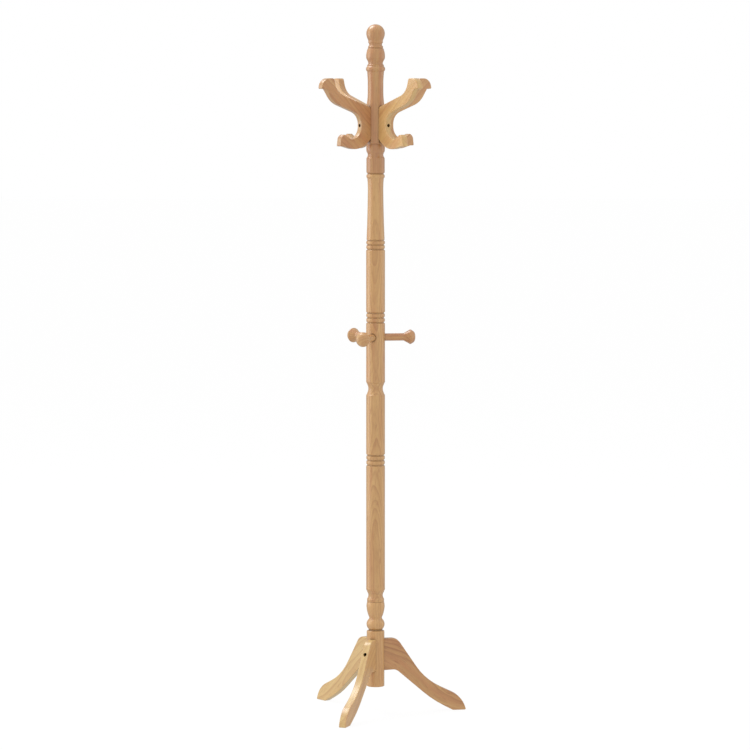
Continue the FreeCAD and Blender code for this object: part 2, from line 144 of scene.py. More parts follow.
UPPER_PROFILE = (
    (21, UPPER_JOINT, 0),
    (24.2, 1443.5, 1),
    (24.2, 1476.6, 0),
    (23, 1480.4, 0.4),
    (23.7, 1495.2, -2.7),
    (23.6, 1513, 1.1),
    (22.4, 1514.4, 0),
    (22.4, HOOK_FLAT_BOTTOM, 0),
    (POST_RADIUS, 1519.6, 0.7),
    (POST_RADIUS, 1611.5, 0),
    (20.5, 1652, -1.14),
    (20.5, 1680, 0),
    (22.1, 1704.5, -0.15),
    (21.9, 1705.7, 0),
    (21.6, 1720, 3.6),
    (22, 1721.2, 0),
    (21.8, 1723.4, 0.2),
    (19, 1727.6, -0.5),
    (22.9, 1737.3, -0.5),
    (24.85, 1743.5, 0.4),
    (20.7, 1766.6, 1.3),
    (18.9, 1767.4, 0),
    (19.8, 1768.4, 0),
    (19.2, 1772.4, 0.4),
    (18.9, 1781, -2.1),
    (19.4, 1781.8, 0),
    (19.1, 1787.4, 0),
    (24.4, 1803.5, 0.8),
    (0, TOTAL_HEIGHT, DOME),
)
PEG_PROFILE = (
    (9.2, PEG_SEAT, 0),
    (9.8, PEG_SEAT + 0.6, 0.1),
    (9.8, 74, 0),
    (10.8, 77, -0.3),
    (17.6, 89.5, 0),
    (17.5, 97, 1.8),
    (10, 105, 1.2),
    (0, PEG_TIP, DOME),
)
# Grooves are round-bottomed, with a bead between each two and a soft lip at each end of a band.
GROOVE_HALF_WIDTH = 1.9
GROOVE_DEPTH = 1.9
GROOVE_LIP_RADIUS = 24.1
GROOVE_LIP_LENGTH = 2.6
GROOVE_LIP_BULGE = 0.3
BEAD_BULGE = 0.6

# Each corner is (distance from the post's axis, height, rounding radius).
HOOK_OUTLINE = (
    (HOOK_SEAT, 1612.8, 9),
    (135, 1650.5, 45),
    (145.3, 1688.4, 7),
    (180, 1688.4, 25),
    (185.4, 1661.2, 2.6),
    (169.8, 1660, 2),
    (146, 1624.8, 60),
    (54, 1591.5, 34),
    (54, 1529.5, 32.5),
    (89.6, 1529.5, 8),
    (111, 1542.8, 6),
    (121.3, 1535, 14),
    (124.4, 1510.9, 2.6),
    (112.8, 1510.9, 2),
    (56, 1496, 64),
    (HOOK_SEAT, 1528.6, 2.6),
)
LEG_HOUSING_BOTTOM = 113.0
LEG_OUTLINE = (
    (LEG_SEAT, LEG_TOP, 0),
    (57.2, LEG_TOP, 28),
    (135.5, 82.6, 172),
    (233.7, 35.8, 68),
    (245, 0, 3),
    (209, 0, 3),
    (154.5, 28.4, 300),
    (54.5, 114.6, 22),
    (LEG_SEAT, LEG_HOUSING_BOTTOM, 0),
)
EDGE_ROUNDING = 2.0

# ---- bores --------------------------------------------------------------------------------------

# Hardware, as in the CAD: every hole is wider than what it holds by FIT all round.
FIT = 0.05
HOOK_SCREW_RADIUS = 2.1
HOOK_SCREW_LENGTH = 33.0
HOOK_SCREW_SEAT = 37.0
HOOK_COUNTERBORE_RADIUS = 4.5
HOOK_COUNTERBORE_LENGTH = 25.0
HOOK_DOWEL_RADIUS = 3.0
HOOK_DOWEL_LENGTH = 20.0
HOOK_DOWEL_HEIGHTS = (1541.0, 1588.0)
LEG_BOLT_RADIUS = 2.5
LEG_BOLT_LENGTH = 45.0
LEG_BOLT_SEAT = 53.0
LEG_COUNTERBORE_RADIUS = 4.4
LEG_COUNTERBORE_LENGTH = 40.0
LEG_INSERT_RADIUS = 4.5
LEG_INSERT_LENGTH = 13.0
LEG_DOWEL_RADIUS = 4.0
LEG_DOWEL_LENGTH = 26.0
LEG_DOWEL_Z = 136.0
PEG_BORE_RADIUS = 10.6
PEG_SCREW_RADIUS = 2.5
PEG_SCREW_START = 5.0
PEG_SCREW_LENGTH = 34.0
STUD_RADIUS = 4.0
STUD_UP = 36.0
STUD_DOWN = 26.0
STUD_CLEARANCE = 3.0
STUD_INSERT_RADIUS = 6.5
STUD_INSERT_LENGTH = 20.0

# How far a cutter passes the face that its bore opens in, and how far one passes the outside.
PAST_FACE = 1.0
CUT_MARGIN = 10.0


def dowel_bore(radius, length, seat, height):
    """Bore of a dowel that lies half in the post and half in the board seated on it."""
    return (radius + FIT, seat - length / 2, seat + length / 2, height)


def stud_bore(joint):
    """Bore above a joint for the stud between two sections of the post."""
    return (STUD_RADIUS + FIT, joint - PAST_FACE, joint + STUD_UP)


def stud_insert_bores(joint):
    """Bores below a joint, one for the threaded insert and one for the stud that screws into it."""
    insert = (STUD_INSERT_RADIUS + FIT, joint - STUD_INSERT_LENGTH, joint + PAST_FACE)
    stud = (STUD_RADIUS + FIT, joint - STUD_DOWN - STUD_CLEARANCE, joint)
    return (insert, stud)


# Bores along a radius of the post, each (radius, from, to, height).
HOOK_COUNTERBORE = (
    HOOK_COUNTERBORE_RADIUS,
    HOOK_SCREW_SEAT,
    HOOK_SCREW_SEAT + HOOK_COUNTERBORE_LENGTH,
    HOOK_SCREW_Z,
)
HOOK_SCREW_BORE = (
    HOOK_SCREW_RADIUS + FIT,
    HOOK_SCREW_SEAT - HOOK_SCREW_LENGTH,
    HOOK_SCREW_SEAT + PAST_FACE,
    HOOK_SCREW_Z,
)
HOOK_DOWEL_BORES = tuple(
    dowel_bore(HOOK_DOWEL_RADIUS, HOOK_DOWEL_LENGTH, HOOK_SEAT, height)
    for height in HOOK_DOWEL_HEIGHTS
)
LEG_COUNTERBORE = (
    LEG_COUNTERBORE_RADIUS,
    LEG_BOLT_SEAT,
    LEG_BOLT_SEAT + LEG_COUNTERBORE_LENGTH,
    LEG_BOLT_Z,
)
LEG_BOLT_BORE = (
    LEG_BOLT_RADIUS + FIT,
    LEG_BOLT_SEAT - LEG_BOLT_LENGTH,
    LEG_BOLT_SEAT + PAST_FACE,
    LEG_BOLT_Z,
)
LEG_DOWEL_BORE = dowel_bore(LEG_DOWEL_RADIUS, LEG_DOWEL_LENGTH, LEG_SEAT, LEG_DOWEL_Z)
LEG_INSERT_BORE = (
    LEG_INSERT_RADIUS + FIT,
    LEG_SEAT - LEG_INSERT_LENGTH,
    LEG_SEAT + PAST_FACE,
    LEG_BOLT_Z,
)
PEG_BORE = (PEG_BORE_RADIUS, PEG_SEAT, POST_RADIUS + CUT_MARGIN, PEG_Z)
PEG_SCREW_BORE = (
    PEG_SCREW_RADIUS + FIT,
    PEG_SCREW_START,
    PEG_SCREW_START + PEG_SCREW_LENGTH,
    PEG_Z,
)

# ---- camera -----------------------------------------------------------------------------------

VIEW_AZIMUTH = math.radians(-39)
VIEW_DISTANCE = 8.82
VIEW_HEIGHT = 1.676
VIEW_TILT = math.radians(5)
FOCAL_LENGTH = 160.2
SENSOR_WIDTH = 36
FRAME_SHIFT = -0.00075
FARTHEST_SEEN = 100


def make_camera():
    """The camera stands level with the tops of the hooks, turned VIEW_AZIMUTH round the rack from
    the front, and looks slightly down at the middle of the post."""
    data = bpy.data.cameras.new("camera")
    data.lens = FOCAL_LENGTH
    data.sensor_width = SENSOR_WIDTH
    data.shift_x = FRAME_SHIFT
    data.clip_end = FARTHEST_SEEN
    camera = bpy.data.objects.new("camera", data)
    x = math.sin(VIEW_AZIMUTH) * VIEW_DISTANCE
    y = -math.cos(VIEW_AZIMUTH) * VIEW_DISTANCE
    camera.location = (x, y, VIEW_HEIGHT)
    camera.rotation_euler = (math.pi / 2 - VIEW_TILT, 0, VIEW_AZIMUTH)
    bpy.context.scene.collection.objects.link(camera)
    bpy.context.scene.camera = camera


# ---- meshes -----------------------------------------------------------------------------------

ARC_STEP = math.radians(7)
LATHE_SEGMENTS = 128
SHARP_ANGLE = math.radians(16)
PROFILE_BEVEL = 0.35 * MM
BEVEL_SEGMENTS = 2
ROD_SIDES = 48
ON_AXIS = 1e-6
# A board's edge rounding has this many steps, and a flat rim this wide lies inside it.
ROUNDING_STEPS = 7
FLAT_RIM = 0.5
# Within this distance of its seat, a board's rounded edges move less sideways, and there not at all.
SEAT_EASE = 6.0


def dome_bulge(start, end):
    """Bulge of the spherical stretch from a profile point to the axis."""
    rise = abs(end[1] - start[1])
    chord = math.hypot(start[0], rise)
    sphere = chord ** 2 / (2 * rise)
    return sphere - math.sqrt(sphere ** 2 - chord ** 2 / 4)


def arc_between(start, end, bulge):
    """Points on the arc after start, up to and with end. Each point is (radius, distance along)."""
    dx, dy = end[0] - start[0], end[1] - start[1]
    chord = math.hypot(dx, dy)
    sweep = 4 * math.atan(2 * abs(bulge) / chord)
    steps = max(3, math.ceil(sweep / ARC_STEP))
    radius = chord / 2 / math.sin(sweep / 2)
    side = math.copysign(1, bulge)
    nx, ny = dy / chord * side, -dx / chord * side
    cx = (start[0] + end[0]) / 2 + nx * (abs(bulge) - radius)
    cy = (start[1] + end[1]) / 2 + ny * (abs(bulge) - radius)
    middle_angle = math.atan2(ny, nx)
    points = []
    for i in range(1, steps):
        angle = middle_angle + side * sweep * (i / steps - 0.5)
        points.append((cx + radius * math.cos(angle), cy + radius * math.sin(angle)))
    points.append((end[0], end[1]))
    return points


def fine_profile(points):
    """A profile with its bowed stretches divided into short straight ones, in metres."""
    fine = [(points[0][0], points[0][1])]
    for start, end in zip(points, points[1:]):
        bulge = dome_bulge(start, end) if end[2] == DOME else end[2]
        if bulge == 0:
            fine.append((end[0], end[1]))
        else:
            fine += arc_between(start, end, bulge)
    return [(max(r, 0) * MM, along * MM) for r, along in fine]


def groove_band(heights):
    """Profile points of a band of grooves, with the post at its full radius on both sides."""
    reach = GROOVE_HALF_WIDTH + GROOVE_LIP_LENGTH
    points = [(POST_RADIUS, heights[0] - reach, 0)]
    bulge = GROOVE_LIP_BULGE
    for height in heights:
        points.append((GROOVE_LIP_RADIUS, height - GROOVE_HALF_WIDTH, bulge))
        points.append((GROOVE_LIP_RADIUS, height + GROOVE_HALF_WIDTH, -GROOVE_DEPTH))
        bulge = BEAD_BULGE
    points.append((POST_RADIUS, heights[-1] + reach, GROOVE_LIP_BULGE))
    return points


def middle_profile():
    """Profile of the middle post, whose top band ends in the long taper instead of a lip."""
    points = list(MIDDLE_FOOT)
    points += groove_band(LOW_BAND)
    points += MIDDLE_COVE
    points += groove_band(MID_BAND)
    points += groove_band(HIGH_BAND)[:-1]
    points.append(HIGH_BAND_EXIT)
    points += MIDDLE_NECK
    return points


def new_object(name, bm):
    """An object made from a bmesh, in the scene."""
    mesh = bpy.data.meshes.new(name)
    bm.normal_update()
    bm.to_mesh(mesh)
    bm.free()
    obj = bpy.data.objects.new(name, mesh)
    bpy.context.scene.collection.objects.link(obj)
    return obj


def circle(sides):
    """Cosine and sine of evenly spaced directions all the way round."""
    angles = [2 * math.pi * i / sides for i in range(sides)]
    return [(math.cos(angle), math.sin(angle)) for angle in angles]


def skin(bm, rings):
    """Faces between each ring of points and the next. The last ring may be a single point."""
    for low, high in zip(rings, rings[1:]):
        count = len(low)
        for i in range(count):
            j = (i + 1) % count
            if len(high) == 1:
                bm.faces.new((low[i], low[j], high[0]))
            else:
                bm.faces.new((low[i], low[j], high[j], high[i]))


def solid(name, bm, rings):
    """Closed object with a skin over its rings of points and a flat face over each end ring."""
    skin(bm, rings)
    bm.faces.new(list(reversed(rings[0])))
    if len(rings[-1]) > 1:
        bm.faces.new(rings[-1])
    bmesh.ops.recalc_face_normals(bm, faces=bm.faces)
    return new_object(name, bm)


def lathe(name, points, place):
    """Turned solid. place turns (radius, along, cosine, sine) into a point."""
    bm = bmesh.new()
    around = circle(LATHE_SEGMENTS)
    rings = []
    for radius, along in fine_profile(points):
        if radius < ON_AXIS:
            rings.append([bm.verts.new(place(0, along, 1, 0))])
        else:
            rings.append([bm.verts.new(place(radius, along, c, s)) for c, s in around])
    return solid(name, bm, rings)


def upright_place(radius, along, cosine, sine):
    """Place of a point turned about the post's axis."""
    return (radius * cosine, radius * sine, along)


def radial_place(radius, along, cosine, sine):
    """Place of a point turned about a peg's axis, with the peg along X."""
    return (along, radius * cosine, PEG_Z * MM + radius * sine)


def soften_edges(obj):
    """Tiny bevel on the crisp edges that the lathe tool leaves."""
    bevel = obj.modifiers.new("soften", "BEVEL")
    bevel.width = PROFILE_BEVEL
    bevel.segments = BEVEL_SEGMENTS
    bevel.limit_method = "ANGLE"
    bevel.angle_limit = SHARP_ANGLE
    return obj


def rod(radius, start, end, height, angle):
    """Cutting cylinder along a radius of the post."""
    bm = bmesh.new()
    around = [(radius * MM * c, height * MM + radius * MM * s) for c, s in circle(ROD_SIDES)]
    ends = []
    for along in (start * MM, end * MM):
        ends.append([bm.verts.new((along, y, z)) for y, z in around])
    return turned(solid("cutter", bm, ends), angle)


def upright_rod(radius, bottom, top):
    """Cutting cylinder on the post's axis."""
    bm = bmesh.new()
    around = [(radius * MM * c, radius * MM * s) for c, s in circle(ROD_SIDES)]
    ends = []
    for z in (bottom * MM, top * MM):
        ends.append([bm.verts.new((x, y, z)) for x, y in around])
    return solid("cutter", bm, ends)


def block(low, high, angle):
    """Cutting box between two corners in millimetres, turned about the post's axis."""
    bm = bmesh.new()
    corners = ((low[0], low[1]), (high[0], low[1]), (high[0], high[1]), (low[0], high[1]))
    ends = []
    for z in (low[2], high[2]):
        ends.append([bm.verts.new((x * MM, y * MM, z * MM)) for x, y in corners])
    return turned(solid("cutter", bm, ends), angle)


def turned(obj, angle):
    """The object, turned about the post's axis by an angle in degrees."""
    obj.rotation_euler.z = math.radians(angle)
    return obj


def finish_mesh(obj, cutters):
    """Cuts every cutter out of the piece, makes the result its mesh, and shades it smooth with
    sharp edges where faces meet at more than SHARP_ANGLE."""
    for cutter in cutters:
        cut = obj.modifiers.new("cut", "BOOLEAN")
        cut.operation = "DIFFERENCE"
        cut.solver = "EXACT"
        cut.object = cutter
    bpy.context.view_layer.update()
    depsgraph = bpy.context.evaluated_depsgraph_get()
    mesh = bpy.data.meshes.new_from_object(obj.evaluated_get(depsgraph))
    obj.modifiers.clear()
    obj.data = mesh
    for cutter in cutters:
        bpy.data.objects.remove(cutter)
    for polygon in mesh.polygons:
        polygon.use_smooth = True
    mesh.set_sharp_from_angle(angle=SHARP_ANGLE)


def rounded_outline(corners):
    """Points (x, z) of an outline whose corners are rounded with arcs."""
    points = []
    count = len(corners)
    for i, (x, z, radius) in enumerate(corners):
        corner = Vector((x, z))
        if radius == 0:
            points.append(corner)
            continue
        to_before = (Vector(corners[i - 1][:2]) - corner).normalized()
        to_after = (Vector(corners[(i + 1) % count][:2]) - corner).normalized()
        half = to_before.angle(to_after) / 2
        reach = radius / math.tan(half)
        centre = corner + (to_before + to_after).normalized() * (radius / math.sin(half))
        first = corner + to_before * reach - centre
        last = corner + to_after * reach - centre
        sweep = first.angle_signed(last)
        steps = max(3, math.ceil(abs(sweep) / ARC_STEP))
        for k in range(steps + 1):
            cosine = math.cos(-sweep * k / steps)
            sine = math.sin(-sweep * k / steps)
            x_arm = first.x * cosine - first.y * sine
            z_arm = first.x * sine + first.y * cosine
            points.append(centre + Vector((x_arm, z_arm)))
    return points


def inward_moves(points, seat):
    """For each outline point, how it moves when the outline shrinks by one unit. On the face that
    seats on the post, points slide along that face only."""
    count = len(points)
    area = sum(points[i - 1].x * points[i].y - points[i].x * points[i - 1].y for i in range(count))
    side = math.copysign(1, area)
    moves = []
    for i, point in enumerate(points):
        before = (point - points[i - 1]).normalized()
        after = (points[(i + 1) % count] - point).normalized()
        normal_before = Vector((-before.y, before.x)) * side
        normal_after = Vector((-after.y, after.x)) * side
        move = (normal_before + normal_after) / (1 + normal_before.dot(normal_after))
        share = min(1.0, (point.x - seat) / SEAT_EASE)
        moves.append(Vector((move.x * share, move.y)))
    return moves


def board(name, corners, thickness, seat):
    """Board sawn to an outline in the XZ plane, with its long edges rounded off."""
    points = rounded_outline(corners)
    moves = inward_moves(points, seat)
    half = thickness / 2
    levels = []
    for k in range(ROUNDING_STEPS + 1):
        angle = math.pi / 2 * k / ROUNDING_STEPS
        y = half - EDGE_ROUNDING * (1 - math.sin(angle))
        levels.append((y, EDGE_ROUNDING * (1 - math.cos(angle))))
    levels.append((half, EDGE_ROUNDING + FLAT_RIM))
    sections = [(-y, inset) for y, inset in reversed(levels)] + levels
    bm = bmesh.new()
    rings = []
    for y, inset in sections:
        ring = []
        for point, move in zip(points, moves):
            corner = point + move * inset
            ring.append(bm.verts.new((corner.x * MM, y * MM, corner.y * MM)))
        rings.append(ring)
    return solid(name, bm, rings)


# ---- materials --------------------------------------------------------------------------------


def linear(red, green, blue):
    """Scene colour of a display colour given from 0 to 255."""
    values = []
    for value in (red / 255, green / 255, blue / 255):
        values.append(value / 12.92 if value <= 0.04045 else ((value + 0.055) / 1.055) ** 2.4)
    return (*values, 1.0)


class Nodes:
    """Short calls that add and link shader nodes."""

    def __init__(self, name):
        self.material = bpy.data.materials.new(name)
        self.material.use_nodes = True
        self.tree = self.material.node_tree
        self.shader = self.tree.nodes["Principled BSDF"]

    def add(self, kind, inputs, **settings):
        """A node with its inputs set or linked. Inputs are {name or number: value or socket}."""
        node = self.tree.nodes.new("ShaderNode" + kind)
        for key, value in settings.items():
            setattr(node, key, value)
        for key, value in inputs.items():
            self.put(node.inputs[key], value)
        return node

    def put(self, socket, value):
        if isinstance(value, bpy.types.NodeSocket):
            self.tree.links.new(value, socket)
        else:
            socket.default_value = value

    def math(self, operation, a, b=0.0):
        return self.add("Math", {0: a, 1: b}, operation=operation).outputs[0]

    def vector(self, operation, a, b):
        return self.add("VectorMath", {0: a, 1: b}, operation=operation).outputs[0]

    def noise(self, at, scale, detail=2.0, roughness=0.5):
        """Noise from 0 to 1. scale is how often it changes per metre along x, y and z."""
        stretched = self.vector("MULTIPLY", at, scale)
        settings = {"Vector": stretched, "Scale": 1.0, "Detail": detail, "Roughness": roughness}
        return self.add("TexNoise", settings).outputs["Fac"]

    def remap(self, value, low, high, to_low, to_high):
        inputs = {0: value, 1: low, 2: high, 3: to_low, 4: to_high}
        return self.add("MapRange", inputs, clamp=True).outputs[0]

    def mix(self, factor, a, b):
        node = self.add("Mix", {}, data_type="RGBA")
        self.put(node.inputs["Factor"], factor)
        self.put(node.inputs["A"], a)
        self.put(node.inputs["B"], b)
        return node.outputs["Result"]


WOOD_LIGHT = linear(209, 169, 108)
WOOD_MAIN = linear(195, 151, 91)
WOOD_ROSE = linear(188, 128, 82)
WOOD_DARK = linear(158, 103, 60)
WOOD_PORE = linear(112, 74, 41)

# How fine each mark in the wood is: changes per metre in the two directions across the grain, and
# along it. Each reach is in metres.
WANDER_SCALE = (5, 5, 2.6)
WANDER_REACH = 0.022
RIPPLE_SCALE = (18, 18, 13)
RIPPLE_REACH = 0.005
UNEVEN_SCALE = (60, 60, 7)
UNEVEN_REACH = 0.0016
STREAK_SCALE = (85, 85, 4)
RED_STREAK_SCALE = (60, 60, 4)
FIBRE_SCALE = (520, 520, 12)
PORE_SCALE = (1300, 1300, 60)
FLECK_SCALE = (190, 190, 34)
SHADE_SCALE = (9, 9, 1.5)
# Painted shade: wood and steel are darker where another surface lies within these distances.
WOOD_PAINTED_SHADE_REACH = 0.011
STEEL_PAINTED_SHADE_REACH = 0.03
PAINTED_SHADE_SAMPLES = 8

# How the sawn edges of the boards differ from their faces, in red, green and blue. They are a little
# less red, partly their own tone and partly painted sheen; on the left hook and the left leg they
# are paler too, which is painted sheen.
EDGE_TONE_AND_SHEEN = (0.97, 1.03, 1.04)
PAINTED_SHEEN_EDGE_TONE = (0.99, 1.14, 1.17)

# The wood of each piece. wood() says what the words mean.
HOOK_CUT = dict(centre=(0.1, 0, 1.595), grain_turn=-48, pith=(0.02, 0.045), spacing=0.009)
LEG_CUT = dict(centre=(0.13, 0, 0.1), grain_turn=-136, pith=(0.035, 0.035), spacing=0.009)
PEG_CUT = dict(
    centre=(0.06, 0, PEG_Z * MM), grain_turn=-90, pith=(0.03, 0.02), spacing=0.006,
    rose=0.4, figure=0.9,
)
WOODS = {
    "upper_post": dict(
        centre=(0, 0, 1.63), grain_turn=0, pith=(0.055, -0.05), spacing=0.006, seed=3.1,
        tone=(0.87, 0.825, 0.86), rose=0.6, figure=0.8,
    ),
    "middle_post": dict(
        centre=(0, 0, 0.87), grain_turn=0, pith=(-0.038, -0.047), spacing=0.005, seed=7.7,
        tone=(1.0, 0.975, 1.0), rose=0.2, figure=1.4, swerve=(-0.41, -0.12, 0.018, 0.022),
    ),
    "lower_post": dict(
        centre=(0, 0, 0.18), grain_turn=0, pith=(-0.05, 0.05), spacing=0.006, seed=12.4,
        tone=(0.995, 0.95, 0.965), rose=0.1, figure=0.9,
    ),
    "hook_right": dict(
        HOOK_CUT, seed=20.3, tone=(0.985, 0.975, 1.005), rose=0.42, figure=1.0,
        edge_tone_and_sheen=EDGE_TONE_AND_SHEEN,
    ),
    "hook_back": dict(
        HOOK_CUT, seed=25.2, tone=(0.985, 0.975, 1.005), rose=0.42, figure=1.0,
        edge_tone_and_sheen=EDGE_TONE_AND_SHEEN,
    ),
    # The pale sawn edges of this hook are painted sheen.
    "hook_left": dict(
        HOOK_CUT, seed=30.1, tone=(0.94, 0.88, 0.935), rose=0.55, figure=1.4,
        edge_tone_and_sheen=PAINTED_SHEEN_EDGE_TONE,
    ),
    "hook_front": dict(
        HOOK_CUT, seed=35.0, tone=(1.08, 1.12, 1.13), rose=0.3, figure=0.6,
        edge_tone_and_sheen=EDGE_TONE_AND_SHEEN,
    ),
    "leg_right": dict(
        LEG_CUT, seed=41.2, tone=(0.91, 0.875, 0.865), rose=0.5, figure=2.0,
        edge_tone_and_sheen=EDGE_TONE_AND_SHEEN, bow=13.0,
    ),
    "leg_back": dict(
        LEG_CUT, seed=47.3, tone=(1.13, 1.29, 1.46), rose=0.1, figure=1.2,
        edge_tone_and_sheen=EDGE_TONE_AND_SHEEN, bow=5.0,
    ),
    # The pale sawn edges of this leg are painted sheen.
    "leg_left": dict(
        LEG_CUT, seed=53.4, tone=(1.055, 1.065, 1.145), rose=0.2, figure=1.0,
        edge_tone_and_sheen=PAINTED_SHEEN_EDGE_TONE, bow=5.0,
    ),
    "peg_right": dict(PEG_CUT, seed=60.8, tone=(0.9, 0.8, 0.815)),
    "peg_back": dict(PEG_CUT, seed=64.1, tone=(0.94, 0.92, 0.94)),
    "peg_left": dict(PEG_CUT, seed=67.4, tone=(0.95, 0.94, 0.97)),
}
DOWEL_WOOD = dict(
    centre=(0, 0, 0), grain_turn=-90, pith=(0.2, 0.1), spacing=0.004, seed=80.0,
    tone=(1, 1, 1), rose=0.0, figure=0.7,
)


def grain_place(nodes, centre, grain_turn, bow, swerve):
    """Where a point lies in the tree, with Z along the grain."""
    from_centre = nodes.vector("SUBTRACT", nodes.add("TexCoord", {}).outputs["Object"], centre)
    mapping = {"Vector": from_centre, "Rotation": (0, math.radians(grain_turn), 0)}
    grain = nodes.add("Mapping", mapping).outputs[0]
    if bow:
        along = nodes.add("SeparateXYZ", {0: grain}).outputs["Z"]
        bend = nodes.math("MULTIPLY", nodes.math("POWER", along, 3.0), bow)
        grain = nodes.vector("ADD", grain, nodes.add("CombineXYZ", {0: bend}).outputs[0])
    if swerve:
        low, high, x, y = swerve
        along = nodes.add("SeparateXYZ", {0: grain}).outputs["Z"]
        aside_x = nodes.remap(along, low, high, 0, x)
        aside_y = nodes.remap(along, low, high, 0, y)
        aside = nodes.add("CombineXYZ", {0: aside_x, 1: aside_y}).outputs[0]
        grain = nodes.vector("ADD", grain, aside)
    return grain


def sideways(nodes, local, other, scale, detail, reach):
    """Uneven drift across the grain, up to reach each way in X and in Y."""
    x = nodes.remap(nodes.noise(local, scale, detail), 0, 1, -reach, reach)
    y = nodes.remap(nodes.noise(other, scale, detail), 0, 1, -reach, reach)
    return nodes.add("CombineXYZ", {0: x, 1: y}).outputs[0]


def ring_lines(nodes, grain, local, other, pith, spacing, figure):
    """Growth rings, which wander slowly along the grain and ripple over short lengths of it. Each
    one darkens slowly outwards and ends sharply, some more strongly than others."""
    wander = sideways(nodes, local, other, WANDER_SCALE, 1, WANDER_REACH)
    ripple = sideways(nodes, local, other, RIPPLE_SCALE, 2, RIPPLE_REACH)
    drifted = nodes.vector("ADD", grain, nodes.vector("ADD", wander, ripple))
    from_pith = nodes.vector("SUBTRACT", drifted, (pith[0], pith[1], 0))
    across = nodes.vector("MULTIPLY", from_pith, (1, 1, 0))
    distance = nodes.add("VectorMath", {0: across}, operation="LENGTH").outputs["Value"]
    uneven = nodes.remap(nodes.noise(local, UNEVEN_SCALE, 2), 0, 1, -UNEVEN_REACH, UNEVEN_REACH)
    count = nodes.math("DIVIDE", nodes.math("ADD", distance, uneven), spacing)
    ring = nodes.math("FRACT", count)
    year = nodes.add("TexWhiteNoise", {"W": nodes.math("FLOOR", count)}, noise_dimensions="1D")
    strength = nodes.remap(year.outputs["Value"], 0, 1, 0.15 * figure, 0.6 * figure)
    late = nodes.math("MULTIPLY", nodes.math("POWER", ring, 2.2), nodes.remap(ring, 0.88, 1, 1, 0))
    return nodes.math("MULTIPLY", late, strength)


def wood(name, centre, grain_turn, pith, spacing, seed, tone, rose, figure,
         edge_tone_and_sheen=None, bow=0.0, swerve=None):
    """Lacquered light hardwood as solid growth rings round a pith, so that faces, edges and end
    grain agree. centre is the piece's middle. grain_turn tips the grain from upright, about Y, in
    degrees. pith is where the tree's heart lies from the middle, across the grain, and spacing is
    how far apart the rings are, in metres. seed picks another part of every noise. tone scales the
    red, green and blue, rose from 0 to 1 turns more of the wood from straw to reddish brown, and
    figure is how strongly it is marked. The edge tone scales the colour again on the edges of a
    board that lies in the XZ plane, partly as their own tone and partly as painted sheen, and bow
    bends the grain into an S, by bow times the cube of the distance along it. swerve leads the
    grain aside between two heights, given as (low, high, x, y) from the middle, and the surface
    there cuts the rings into arches. The colour is also darkened as painted shade where other
    surfaces lie close."""
    nodes = Nodes(name)
    grain = grain_place(nodes, centre, grain_turn, bow, swerve)
    shift = (seed * 0.37 % 1.9, seed * 0.73 % 2.3, seed * 1.31 % 3.1)
    local = nodes.vector("ADD", grain, shift)
    other = nodes.vector("ADD", local, (5, 3, 1))
    line = ring_lines(nodes, grain, local, other, pith, spacing, figure)

    # Broad streaks, fine fibres, open pores and flecks, all drawn out along the grain
    streak = nodes.noise(local, STREAK_SCALE, 3, 0.6)
    red_streak = nodes.noise(other, RED_STREAK_SCALE, 3, 0.6)
    fibre = nodes.noise(local, FIBRE_SCALE, 3, 0.65)
    pore = nodes.remap(nodes.noise(local, PORE_SCALE, 1), 0.64, 0.74, 0, 1)
    fleck = nodes.remap(nodes.noise(other, FLECK_SCALE, 1), 0.6, 0.78, 0, 0.45 * figure)

    main = nodes.mix(nodes.remap(streak, 0.3, 0.7, 0, 1), WOOD_LIGHT, WOOD_MAIN)
    reddening = nodes.remap(red_streak, 0.6 - 0.45 * rose, 0.95 - 0.45 * rose, 0, 0.9)
    tinted = nodes.mix(reddening, main, WOOD_ROSE)
    ringed = nodes.mix(nodes.math("MAXIMUM", line, fleck), tinted, WOOD_DARK)
    fibred = nodes.mix(nodes.remap(fibre, 0.35, 0.75, 0, 0.25), ringed, WOOD_DARK)
    pored = nodes.mix(nodes.math("MULTIPLY", pore, 0.45), fibred, WOOD_PORE)
    shade = nodes.remap(nodes.noise(local, SHADE_SCALE, 2), 0.25, 0.75, 0.95, 1.05)

    # Painted shade: darker in grooves and where pieces meet, where other surfaces lie close
    painted_shade = nodes.add("AmbientOcclusion", {"Distance": WOOD_PAINTED_SHADE_REACH}, samples=PAINTED_SHADE_SAMPLES)
    tone_and_painted_shade = nodes.math("MULTIPLY", shade, nodes.remap(painted_shade.outputs["AO"], 0.25, 0.85, 0.26, 1))
    toned = nodes.vector("MULTIPLY", pored, tone)
    # Sawn edges get their own tone, which is partly painted sheen.
    if edge_tone_and_sheen:
        normal = nodes.add("SeparateXYZ", {0: nodes.add("TexCoord", {}).outputs["Normal"]})
        on_edge = nodes.remap(nodes.math("ABSOLUTE", normal.outputs["Y"]), 0.3, 0.8, 1, 0)
        toned = nodes.mix(on_edge, toned, nodes.vector("MULTIPLY", toned, edge_tone_and_sheen))
    colour = nodes.add("VectorMath", {0: toned, "Scale": tone_and_painted_shade}, operation="SCALE").outputs[0]
    nodes.put(nodes.shader.inputs["Base Color"], colour)
    lacquer(nodes, fibre, pore)
    return nodes.material


def lacquer(nodes, fibre, pore):
    """Satin clear coat over wood whose fibres and pores show a little through it."""
    nodes.put(nodes.shader.inputs["Roughness"], nodes.remap(fibre, 0.3, 0.8, 0.38, 0.46))
    nodes.shader.inputs["Specular IOR Level"].default_value = 0.3
    nodes.shader.inputs["Coat Weight"].default_value = 1.0
    nodes.shader.inputs["Coat Roughness"].default_value = 0.3
    nodes.shader.inputs["Coat IOR"].default_value = 1.5
    raised = nodes.math("MULTIPLY", fibre, 0.35)
    height = nodes.math("SUBTRACT", raised, nodes.math("MULTIPLY", pore, 0.5))
    bump = nodes.add("Bump", {"Height": height, "Strength": 0.03, "Distance": 0.0002})
    nodes.put(nodes.shader.inputs["Normal"], bump.outputs[0])


